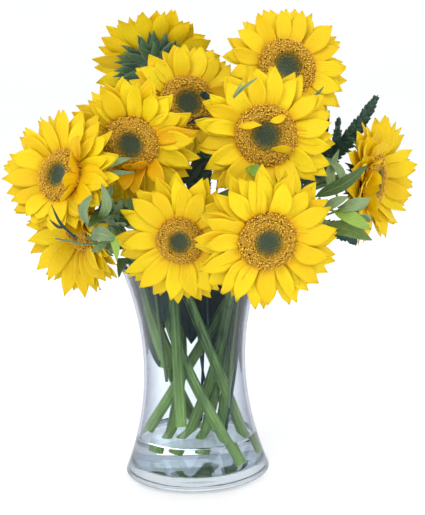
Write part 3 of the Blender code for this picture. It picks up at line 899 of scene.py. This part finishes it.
def leaf_material(name, roughness, dark, light, rib, vein_count, **values):
    """A leaf with a pale midrib, slanting side veins and a mottle."""
    made, tree, shader = new_material(name, roughness, **values)
    across, along = surface(tree)
    side = maths(tree, "ABSOLUTE", maths(tree, "SUBTRACT", across, 0.5))
    place = object_place(tree)
    body = blend(tree, attribute(tree, "tone"), dark, light)
    mottle = remap(tree, noise(tree, place, 130.0), 0.35, 0.7)
    body = tint(tree, body, mottle, 0.45, dark)
    slant = maths(tree, "SUBTRACT", along, maths(tree, "MULTIPLY", side, VEIN_SLANT))
    waves = maths(tree, "MULTIPLY", slant, vein_count * 2 * math.pi)
    vein = remap(tree, maths(tree, "SINE", waves), 0.86, 1.0)
    middle = remap(tree, side, 0.02, 0.05, 1.0, 0.0)
    lines = maths(tree, "MAXIMUM", middle, maths(tree, "MULTIPLY", vein, 0.55))
    body = tint(tree, body, lines, 0.42, rib)
    tree.links.new(body, shader.inputs["Base Color"])
    grain = noise(tree, place, 500.0)
    pressed = maths(tree, "SUBTRACT", grain, maths(tree, "MULTIPLY", lines, 1.5))
    bumped(tree, shader, pressed, 0.0004, 0.6)
    return made


FERN_GREEN = leaf_material("fern_green", 0.38, rgb(20, 54, 48), rgb(44, 88, 62), rgb(72, 114, 78), 5)
SPRAY_GREEN = leaf_material("spray_green", 0.45, rgb(92, 118, 76), rgb(142, 166, 108),
                            rgb(182, 198, 146), 7, Sheen_Weight=0.1)
LEAF_GREEN = leaf_material("leaf_green", 0.52, rgb(62, 92, 42), rgb(112, 140, 66), rgb(158, 178, 104),
                           SIDE_VEINS)
DARK_LEAF = leaf_material("dark_leaf", 0.5, rgb(18, 42, 40), rgb(36, 66, 52), rgb(72, 100, 78), SIDE_VEINS)
BRIGHT_LEAF = leaf_material("bright_leaf", 0.45, rgb(108, 144, 44), rgb(146, 178, 70),
                            rgb(190, 206, 120), SIDE_VEINS)

# %% Routes
FERNS = {  # route, face, width across, where the blade starts
    "fern_right_tall": (
        ((30, 34, 14), (20, 35, 105), (28, 48, 195), (92, 42, 272), (149, 12, 316), (182, 10, 362)),
        (0, -1, 0.3), 26, 0.58),
    "fern_right_narrow": (
        ((22, 45, 14), (6, 38, 105), (10, 52, 195), (84, 80, 255), (138, 58, 290), (149, 50, 340)),
        (0.5, -1, 0), 22, 0.60),
    "fern_upper_middle": (
        ((14, -13, 148), (16, -11, 195), (28, -28, 290), (40, -34, 350), (14, -42, 372)),
        (0, -1, 0.4), 18, 0.55),
    "fern_centre": (
        ((4, 20, 44), (8, 18, 105), (14, 4, 195), (8, -22, 260), (12, -40, 300), (26, -46, 322)),
        (-0.3, -1, 0.2), 32, 0.60),
    "fern_right_low": (
        ((28, -24, 46), (39, -13, 105), (52, -18, 195), (92, -45, 236), (128, -62, 246), (153, -60, 233)),
        (0, -1, 0.5), 24, 0.58),
}
SPRAYS = {  # route, leaf length and width, where the leaves start and end, pairs of leaves
    "spray_left": (
        ((-26, -33, 100), (-30, -35, 145), (-34, -43, 195), (-39, -49, 214), (-53, -70, 232),
         (-69, -97, 246), (-87, -126, 249), (-112, -146, 258)), (22, 10), 0.62, 0.80, 4),
    "spray_right": (
        ((31, -26, 70), (34, -21, 105), (38, -23, 140), (49, -26, 195), (82, -52, 236), (135, -84, 266),
         (157, -88, 260)), (27, 12), 0.70, 0.97, 5),
    "spray_back": (
        ((-22, 37, 70), (-14, 35, 105), (-22, 46, 195), (-44, 80, 245), (-62, 96, 300)),
        (28, 14), 0.55, 0.97, 7),
    "sprig_left": (
        ((-50, -72, 236), (-62, -92, 258), (-68, -106, 276), (-76, -112, 293)), (23, 10), 0.35, 0.97, 5),
}


def rail_along(route, face, steps):
    """A route in mm as a smooth line, and the way forward, the side and the upward way along it."""
    line = smooth_line([Vector(p) * MM for p in route], steps)
    rail = []
    for i, point in enumerate(line):
        forward = (line[min(i + 1, len(line) - 1)] - line[max(i - 1, 0)]).normalized()
        side = forward.cross(Vector(face)).normalized()
        rail.append((point, forward, side, side.cross(forward)))
    return line, rail


def turn_to(forward, up):
    """The Euler turn that takes +Y to forward and +Z as near as it can to up."""
    forward = forward.normalized()
    side = forward.cross(up).normalized()
    return tuple(Matrix((side, forward, side.cross(forward))).transposed().to_euler())


def twig_object(name, line, radius):
    """A tapering round twig, kept out of the scene."""
    curve = line_curve(name, line, [1 - 0.6 * i / len(line) for i in range(len(line))])
    curve.bevel_depth, curve.bevel_resolution, curve.use_fill_caps = radius, 2, True
    return bpy.data.objects.new(name, plain_mesh(added(f"{name}_maker", curve), name))


def leaflet(name, widths, width, curl, cup, columns, rows, teeth=0.0):
    """A leaflet along +Y. Every other row is drawn in by `teeth`."""
    def place(across, along):
        side = 2 * across - 1
        half = width / 2 * interpolate(widths, along)
        half *= 1 - teeth * (round(along * rows) % 2)
        return side * half, LEAFLET * along, cup * abs(side) - curl * along ** 2

    return grid_mesh(name, columns, rows, place)


LEAFLET = 10 * MM  # long, before it is stretched to fit
PINNA_WIDTH, OVAL_WIDTH = 9.0, 5.2  # mm
PINNA = ((0, 0.5), (0.15, 1.0), (0.5, 0.8), (0.8, 0.45), (1, 0.04))
PINNA_SHAPES = shape_collection("pinna_shape", [
    leaflet(f"pinna_{i}", PINNA, PINNA_WIDTH * MM, curl * MM, 0.5 * MM, 2, 12, 0.3)
    for i, curl in enumerate((0.5, 1.6, -0.8))])
OVAL = ((0, 0.10), (0.1, 0.42), (0.28, 0.86), (0.5, 1.0), (0.72, 0.84), (0.9, 0.42), (1, 0.03))
OVAL_SHAPES = shape_collection("oval_shape", [
    leaflet(f"oval_{i}", OVAL, OVAL_WIDTH * MM, curl * MM, cup * MM, 6, 10)
    for i, (curl, cup) in enumerate(((0.8, 0.6), (2.0, 0.9), (-1.0, 0.4), (0.2, 1.2)))])

# %% Fronds
PAIRS, BLADE_END, FROND_SEED, SPRAY_SEED = 30, 0.985, 40, 60
FROND_WIDTHS = ((0, 0.66), (0.25, 1.0), (0.6, 0.86), (0.85, 0.6), (1, 0.34))
TWIG_RADIUS, TWIG_STEPS = 1.3 * MM, 12
TWIG_BEND, FROND_BEND_SIZE, SPRAY_BEND_SIZE = 2 * MM, 60.0, 40.0
PINNA_THICKNESS, OVAL_THICKNESS = 0.3 * MM, 0.5 * MM


def make_frond(name, route, face, width, start, seed):
    rng = np.random.default_rng(seed)
    line, rail = rail_along(route, face, TWIG_STEPS)
    rows = []
    for pair in range(PAIRS):
        share = pair / (PAIRS - 1)
        point, forward, side, up = rail[round((start + (BLADE_END - start) * share) * (len(line) - 1))]
        reach = width / 2 * interpolate(FROND_WIDTHS, share) / 10
        for hand in (1, -1):
            angle = math.radians(rng.uniform(56, 70) - 26 * share)
            way = forward * math.cos(angle) + side * hand * math.sin(angle) + up * rng.uniform(-0.25, 0.12)
            rows.append(dict(place=tuple(point), turn=turn_to(way, up), size=(reach ** 0.5, reach, 1.0),
                             kind=int(rng.integers(3)), tone=float(rng.uniform())))
    stalk = twig_object(f"{name}_stalk", line, TWIG_RADIUS)
    frond = placed(f"{name}_frond", rows, PINNA_SHAPES, FERN_GREEN, stalk, TWIG_BEND, FROND_BEND_SIZE,
                   seed, PINNA_THICKNESS)
    return rides(frond, "fern", name)


for number, (name, (route, face, width, start)) in enumerate(FERNS.items()):
    frond = make_frond(name, route, face, width, start, FROND_SEED + number)
print("last frond:", len(frond.data.polygons), "faces")

# %% Sprays
def make_spray(name, route, leaf, start, end, pairs, seed):
    rng = np.random.default_rng(seed)
    line, rail = rail_along(route, (0, -1, 0.4), TWIG_STEPS)
    rows = []
    for pair in range(pairs):
        share = pair / (pairs - 1)
        point, forward, side, up = rail[round((start + (end - start) * share) * (len(line) - 1))]
        out = side if pair % 2 else (up + side * 0.4).normalized()
        for hand in (1, -1):
            way = out * hand + forward * rng.uniform(0.6, 1.2)
            size = rng.uniform(0.72, 1.0) * (1 - 0.3 * share)
            face = up + side * rng.uniform(-0.5, 0.5) + forward * 0.3
            rows.append(dict(place=tuple(point), turn=turn_to(way, face),
                             size=(leaf[1] / OVAL_WIDTH * size, leaf[0] / 10 * size, 1.6 * size),
                             kind=int(rng.integers(4)), tone=float(rng.uniform())))
    twig = twig_object(f"{name}_twig", line, TWIG_RADIUS)
    spray = placed(f"{name}_leaves", rows, OVAL_SHAPES, SPRAY_GREEN, twig, TWIG_BEND, SPRAY_BEND_SIZE,
                   seed, OVAL_THICKNESS)
    return rides(spray, "spray", *([name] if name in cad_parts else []))


for number, (name, look) in enumerate(SPRAYS.items()):
    spray = make_spray(name, *look, SPRAY_SEED + number)
print("last spray:", len(spray.data.polygons), "faces")


# %% [markdown]
# ## Single leaves
# The broad leaves between the flowers are the sunflowers' own: rough, with a toothed edge, a
# folded midrib and slanting veins. Others were pushed down inside the vase's neck, and there are
# small pale leaves, narrow dark blades and a few young bright ones. All are different, so each is a
# grid laid along its own route, and its side veins are pressed into the mesh as well as drawn.
# The leaves in the neck have to stay off the glass, so the vase's inside is worked out first.

# %% Inside of the vase
VASE_HEIGHT, WAIST_HEIGHT, WAIST_RADIUS, FLARE = 206 * MM, 108 * MM, 49.7 * MM, 1.93
WALL, FLOOR_TOP, FOOT_RADIUS, HEEL, GROOVE = 2.8 * MM, 11 * MM, 63 * MM, 5 * MM, 0.7 * MM
CORNER, WATER_TOP, ROUND = 6 * MM, 40 * MM, 160


def outer_radius(height):
    return WAIST_RADIUS + FLARE * (height - WAIST_HEIGHT) ** 2


def within_vase(point, gap=0.8 * MM):
    """The point, drawn in towards the axis where it would touch the glass."""
    reach = math.hypot(point.x, point.y)
    room = outer_radius(min(point.z, VASE_HEIGHT)) - WALL - gap
    if point.z > VASE_HEIGHT + 5 * gap or reach <= room:
        return point
    return Vector((point.x * room / reach, point.y * room / reach, point.z))


# %% Leaves
LEAVES = {  # route, face, width, where the blade starts
    "leaf_left_broad": (((-34, -58, 244), (-52, -84, 262), (-70, -103, 271), (-84, -141, 266)),
                        (-0.3, -1, 0.5), 22, 0.3),
    "leaf_left_narrow": (((-48, -42, 210), (-58, -66, 226), (-64, -88, 212)), (-0.6, -1, 0.4), 12, 0.2),
    "leaf_middle": (((-22, -30, 226), (-32, -50, 262), (-28, -54, 298)), (0, -1, 0.4), 28, 0.2),
    "leaf_right_blade": (((92, -46, 262), (118, -72, 279), (140, -88, 291), (160, -92, 307)),
                         (-0.2, -1, 0.3), 12, 0.3),
    "leaf_right_low": (((106, -74, 244), (136, -94, 251), (162, -100, 241)), (0, -1, 0.6), 15, 0.2),
    "leaf_vase_left": (((-30, 12, 214), (-27, -6, 180), (-22, -12, 146)), (-0.2, -1, 0), 22, 0.1),
    "leaf_back_left": (((-30, 40, 214), (-70, 62, 258), (-104, 70, 270)), (0, 1, 0.5), 46, 0.2),
    "leaf_back_right": (((26, 62, 218), (34, 96, 250), (40, 118, 254)), (0.2, 1, 0.7), 44, 0.2),
}
NECK_LEAVES = {  # leaves pushed down inside the vase's neck
    "neck_leaf_left": (((-24, 20, 212), (-31, 24, 176), (-38, 20, 140)), (-0.2, -1, 0), 34, 0.0),
    "neck_leaf_middle": (((6, 14, 208), (0, 18, 165), (-3, 16, 124)), (0.1, -1, 0), 32, 0.0),
    "neck_leaf_far_left": (((-68, 2, 208), (-60, 2, 165), (-52, 2, 118)), (-1, 0, 0), 66, 0.0),
    "neck_leaf_far_right": (((68, 4, 208), (60, 4, 160), (52, 4, 96)), (1, 0, 0), 68, 0.0),
    "neck_leaf_back_left": (((-50, 44, 208), (-42, 40, 170), (-36, 34, 130)), (-0.8, 1, 0), 50, 0.0),
    "neck_leaf_back_right": (((50, 44, 208), (44, 40, 160), (38, 32, 100)), (0.8, 1, 0), 50, 0.0),
    "neck_leaf_side": (((-30, -38, 206), (-28, -36, 182), (-26, -34, 158)), (-0.4, -1, 0), 22, 0.0),
    "neck_leaf_right": (((38, 34, 206), (39, 32, 160), (36, 28, 112)), (0.4, -1, 0), 32, 0.0),
    "neck_leaf_behind": (((20, 40, 208), (20, 37, 160), (18, 33, 116)), (0, -1, 0), 36, 0.0),
    "neck_leaf_front": (((-12, -20, 202), (-8, -14, 178), (-2, -12, 152)), (0, -1, 0), 20, 0.0),
    "neck_leaf_low": (((-42, -14, 150), (-36, -20, 132), (-33, -24, 112)), (-0.6, -1, 0), 13, 0.1),
}
SAGE_LEAVES = {  # small pale leaves in front of the flowers, and slivers at the top
    "sage_left_tall": (((-86, -116, 262), (-88, -135, 280), (-80, -139, 294)), (-0.2, -1, 0.2), 9, 0.1),
    "sage_left_short": (((-79, -114, 266), (-69, -128, 283), (-72, -132, 302)), (0.2, -1, 0.1), 9, 0.1),
    "sage_left_oval": (((-84, -122, 257), (-74, -134, 259), (-63, -128, 253)), (0, -1, 0.3), 13, 0.05),
    "sage_over_disc": (((-79, -100, 302), (-66, -112, 316), (-47, -108, 321)), (0.2, -1, 0.3), 7, 0.1),
    "sage_under_disc": (((-79, -100, 300), (-64, -112, 308), (-44, -108, 308)), (0.2, -1, 0.3), 5, 0.1),
    "blade_top_left": (((43, -86, 369), (54, -93, 379), (64, -94, 386)), (0, -1, 0.5), 3, 0.1),
    "blade_top_middle": (((43, -88, 370), (47, -93, 376), (51, -94, 383)), (0, -1, 0.5), 2.5, 0.1),
    "blade_top_right": (((106, -44, 350), (116, -54, 364), (125, -56, 375)), (0, -1, 0.3), 4, 0.1),
    "sage_right_low": (((114, -92, 265), (128, -102, 275), (141, -104, 281)), (0, -1, 0.4), 9, 0.1),
    "sage_right_oval": (((130, -96, 267), (146, -108, 274), (160, -108, 279)), (0, -1, 0.4), 11, 0.1),
    "sage_right_curl": (((135, -72, 275), (129, -66, 296), (138, -56, 318)), (-0.3, -1, 0.1), 9, 0.1),
    "sage_right_inner": (((143, -70, 280), (137, -66, 300), (125, -62, 312)), (0.3, -1, 0.1), 8, 0.1),
}
BLADES = {  # narrow dark blades that show between the petals
    "blade_over_centre": (((0, -62, 346), (18, -72, 349), (38, -74, 345)), (0, -1, 0.3), 7, 0.1),
    "blade_right_back": (((122, -26, 300), (127, -28, 330), (132, -30, 352)), (0, -1, 0.2), 7, 0.1),
    "blade_middle_left": (((12, -66, 288), (-2, -64, 300), (-15, -56, 315)), (0, -1, 0.2), 11, 0.1),
    "blade_middle_right": (((-10, -68, 290), (4, -64, 301), (18, -56, 314)), (0, -1, 0.2), 10, 0.1),
    "blade_left_tip": (((-97, -132, 257), (-107, -143, 270), (-114, -146, 287)), (0, -1, 0.2), 2.4, 0.1),
    "blade_left_side": (((-104, -138, 266), (-110, -144, 268), (-116, -146, 274)), (0, -1, 0.2), 2.4, 0.1),
}
BRIGHT_LEAVES = {  # young leaves
    "bright_under_centre": (((51, -80, 307), (62, -94, 304), (72, -92, 296)), (0, -1, 0.5), 11, 0.1),
    "bright_left": (((-72, -116, 262), (-63, -130, 250), (-62, -130, 234)), (0, -1, 0.2), 7, 0.1),
    "bright_right": (((126, -92, 268), (144, -112, 262), (160, -110, 252)), (0, -1, 0.5), 12, 0.1),
}
LEAF_KINDS = ((LEAVES, LEAF_GREEN), (NECK_LEAVES, DARK_LEAF), (SAGE_LEAVES, SPRAY_GREEN),
              (BLADES, DARK_LEAF), (BRIGHT_LEAVES, BRIGHT_LEAF))
STALK, LEAF_THICKNESS = 1.0 * MM, 0.6 * MM
LEAF_COLUMNS, LEAF_STEPS, LEAF_SEED = 14, 12, 80
COARSE_WIDTH, COARSE_TEETH, FINE_TEETH = 18, 0.07, 0.02  # mm, and shares of the half width


def leaf_half(share, half, start):
    """Half the width at a share of the length: a stalk, then a blade."""
    along = max(0.0, (share - start) / (1 - start))
    return max(STALK * (1 - 0.7 * share), half * math.sin(math.pi * min(1.0, along) ** 0.8) ** 0.8)


def make_single_leaf(name, material, route, face, width, start, seed):
    rng = np.random.default_rng(seed)
    line, rail = rail_along(route, face, LEAF_STEPS)
    half, phase = width * MM / 2, rng.uniform(0, 6)
    teeth = COARSE_TEETH if width > COARSE_WIDTH else FINE_TEETH

    def place(across, along):
        point, forward, side, up = rail[round(along * (len(line) - 1))]
        off = 2 * across - 1
        edge = leaf_half(along, half, start)
        blade = min(1.0, edge / half * 1.4)
        tooth = 1 + teeth * blade * abs(off) ** 6 * math.cos(math.pi * round(along * (len(line) - 1)))
        vein = math.cos(2 * math.pi * SIDE_VEINS * (along - VEIN_SLANT / 2 * abs(off)))
        rise = 0.34 * abs(off) * edge + 0.03 * edge * vein * min(1, 4 * abs(off))
        rise += 0.10 * half * blade * off ** 2 * math.sin(7 * along + phase + off)
        spot = point + side * off * edge * tooth + up * rise
        return within_vase(spot) if name in NECK_LEAVES else spot

    mesh = grid_mesh(name, LEAF_COLUMNS, len(line) - 1, place)
    tone = mesh.attributes.new("tone", "FLOAT", "POINT")
    shade = float(rng.uniform())
    for item in tone.data:
        item.value = shade
    mesh.materials.append(material)
    leaf = added(f"{name}_blade", mesh)
    thick = leaf.modifiers.new("thickness", "SOLIDIFY")
    thick.thickness, thick.offset = LEAF_THICKNESS, 0.0
    return rides(leaf, "leaf", *([name] if name in LEAVES else []))


seed = LEAF_SEED
for group, material in LEAF_KINDS:
    for name, look in group.items():
        leaf = make_single_leaf(name, material, *look, seed)
        seed += 1
print("leaves of each kind:", [len(group) for group, _ in LEAF_KINDS])


# %% [markdown]
# ## Vase and water
# The vase is pressed glass: a waist, a wide foot with a thin groove over its heel, and a rounded
# lip. It is turned from one profile with many more steps than the CAD model has, so that its
# outline and its highlights are smooth. Its wall is thinner than the CAD model's, which keeps the
# pale bands at its edges narrow. Layer Weight turns the glass, and a little the water, darker and
# bluer where it is seen edge on: partly thick glass's own tint, partly painted shade. The water is
# its own body, with its edge drawn up against the glass, and it overlaps the glass by a hair so that no air
# gap shows between them.

# %% Glass and water materials
def clear_material(name, ior, face, edge, shine):
    made, tree, shader = new_material(name, 0.0)
    shader.inputs["Transmission Weight"].default_value = 1.0
    shader.inputs["IOR"].default_value = ior
    shader.inputs["Specular Tint"].default_value = shine
    # partly painted shade: the colour turns darker and bluer where the surface is seen edge on, also
    # standing for thick glass's own tint
    facing = node(tree, "ShaderNodeLayerWeight", {"Blend": 0.5}, "Facing")
    rim = remap(tree, facing, 0.30, 0.88)
    tree.links.new(blend(tree, rim, face, edge), shader.inputs["Base Color"])
    return made


GLASS = clear_material("clear_glass", 1.42, rgb(240, 245, 250), rgb(36, 52, 92), rgb(100, 110, 130))
WATER = clear_material("still_water", 1.33, rgb(249, 253, 252), rgb(214, 226, 230), rgb(160, 170, 180))

# %% Vase and water shapes
def spread(low, high, steps):
    return [low + (high - low) * i / steps for i in range(steps + 1)]


def arc(centre, radii, start, end, steps):
    turns = [math.radians(a) for a in spread(start, end, steps)]
    return [(centre[0] + radii[0] * math.cos(a), centre[1] + radii[1] * math.sin(a)) for a in turns]


def inside(offset, top, steps):
    """The vase's inside from its axis up to `top`, moved outwards by `offset`."""
    corner = FLOOR_TOP + CORNER
    centre = (outer_radius(corner) - WALL - CORNER, corner)
    floor = [(0.0, FLOOR_TOP - offset), *[(r * centre[0], FLOOR_TOP - offset) for r in (0.3, 0.6, 0.85)]]
    floor += arc(centre, (CORNER + offset, CORNER + offset), -90, 0, 8)
    return floor + [(outer_radius(z) - WALL + offset, z) for z in spread(corner, top, steps)[1:]]


def clear_piece(name, profile, material):
    """A turned piece that casts no shadow, because light goes through it."""
    piece = added(name, turned(name, profile, ROUND))
    piece.data.materials.append(material)
    piece.visible_shadow = False
    return piece


def make_vase():
    top = VASE_HEIGHT - WALL / 2
    groove = HEEL + GROOVE
    heel = arc((FOOT_RADIUS, HEEL), (outer_radius(HEEL) - FOOT_RADIUS, HEEL), -90, 0, 8)
    wall = [(outer_radius(z), z) for z in spread(groove + GROOVE, top, 60)]
    rim = arc((outer_radius(top) - WALL / 2, top), (WALL / 2, WALL / 2), 0, 180, 12)[1:-1]
    profile = [(0.0, 0.0), (0.5 * FOOT_RADIUS, 0.0), *heel, (outer_radius(groove) - GROOVE, groove),
               *wall, *rim, *inside(0.0, top, 60)[::-1]]
    return rides(clear_piece("vase_glass", profile, GLASS), "glass", "vase")


def make_water():
    """Water with a meniscus: its edge climbs the glass."""
    lap, climb = 0.15 * MM, 1.4 * MM
    edge = outer_radius(WATER_TOP) - WALL
    top = [(edge - x * MM, WATER_TOP - climb + climb * math.exp(-x / 1.2))
           for x in (0.4, 1.0, 1.8, 3.0, 5.0, 9.0)]
    profile = [*inside(lap, WATER_TOP, 10), *top, (0.5 * edge, WATER_TOP - climb), (0.0, WATER_TOP - climb)]
    return rides(clear_piece("water_body", profile, WATER), "water", "water")


vase = make_vase()
water = make_water()
print("vase:", len(vase.data.polygons), "faces; water:", len(water.data.polygons), "faces")


# %% [markdown]
# ## Floor, light and camera
# The arrangement stands on a pale floor that curves up into a low rim all round, so that its
# edge never shows. The light is plain and soft: a large lamp high in front to the left, a weaker
# one to the right, one behind, and a pale sky that fills the shadows.

# %% Stage
def make_floor():
    """A shallow dish, turned from its profile of (radius, height)."""
    profile = ((0.0, -0.0006), (1.6, -0.0006), (2.6, 0.04), (3.3, 0.22), (3.8, 0.6), (4.0, 1.2))
    bm = bmesh.new()
    corners = [bm.verts.new((x, 0, z)) for x, z in profile]
    edges = [bm.edges.new(pair) for pair in zip(corners, corners[1:])]
    bmesh.ops.spin(bm, geom=corners + edges, cent=(0, 0, 0), axis=(0, 0, 1), angle=2 * math.pi, steps=96,
                   use_duplicate=False)
    bmesh.ops.remove_doubles(bm, verts=bm.verts, dist=1e-5)
    bmesh.ops.recalc_face_normals(bm, faces=bm.faces)
    for face in bm.faces:
        face.smooth = True
    floor = added("floor", mesh_of(bm, "floor"))
    made, tree, shader = new_material("pale_floor", 0.9)
    grain = noise(tree, object_place(tree), 3.0)
    tree.links.new(blend(tree, grain, rgb(247, 248, 250), rgb(251, 251, 252)), shader.inputs["Base Color"])
    floor.data.materials.append(made)
    floor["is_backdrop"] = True


LAMPS = {  # place, width, watts
    "key": ((-0.9, -1.6, 1.7), 1.1, 20),
    "fill": ((1.7, -1.2, 0.9), 1.4, 8),
    "back": ((0.3, 1.6, 1.5), 1.2, 8),
}
LAMP_TARGET = (0.02, 0.0, 0.25)

make_floor()
for name, (place, size, power) in LAMPS.items():
    light = bpy.data.lights.new(name, "AREA")
    light.shape, light.size, light.energy = "DISK", size, power
    lamp = added(name, light)
    lamp.location = place
    lamp.rotation_euler = (Vector(LAMP_TARGET) - Vector(place)).to_track_quat("-Z", "Y").to_euler()
world = bpy.data.worlds.new("sky")
world.use_nodes = True
sky = world.node_tree.nodes["Background"].inputs
sky["Color"].default_value, sky["Strength"].default_value = (0.98, 0.99, 1.0, 1), 1.0
bpy.context.scene.world = world
bpy.context.scene.view_settings.view_transform = "Standard"

# %% Camera
CAMERA_PLACE, CAMERA_PITCH, CAMERA_ROLL = (0.0205, -1.25, 0.43), 80.12, -1.7
camera = bpy.data.cameras.new("camera")
camera.lens, camera.sensor_width = 92.2, 36.0
viewer = added("camera", camera)
viewer.matrix_world = (Matrix.Translation(CAMERA_PLACE)
                       @ Matrix.Rotation(math.radians(CAMERA_PITCH), 4, "X")
                       @ Matrix.Rotation(math.radians(CAMERA_ROLL), 4, "Z"))
bpy.context.scene.camera = viewer
print("camera at", [round(x, 3) for x in viewer.location])

# %% [markdown]
# Both boxes, the CAD model's and the dressed model's, are printed. The dressed model must
# stay in the CAD model's box, apart from a little that soft petals may stand proud.

# %% Sizes
bpy.context.view_layer.update()
boxes = {"cad": cad_box, "visual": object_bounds()}
for which, box in boxes.items():
    print(which, [[round(x * 1000, 1) for x in corner] for corner in box])
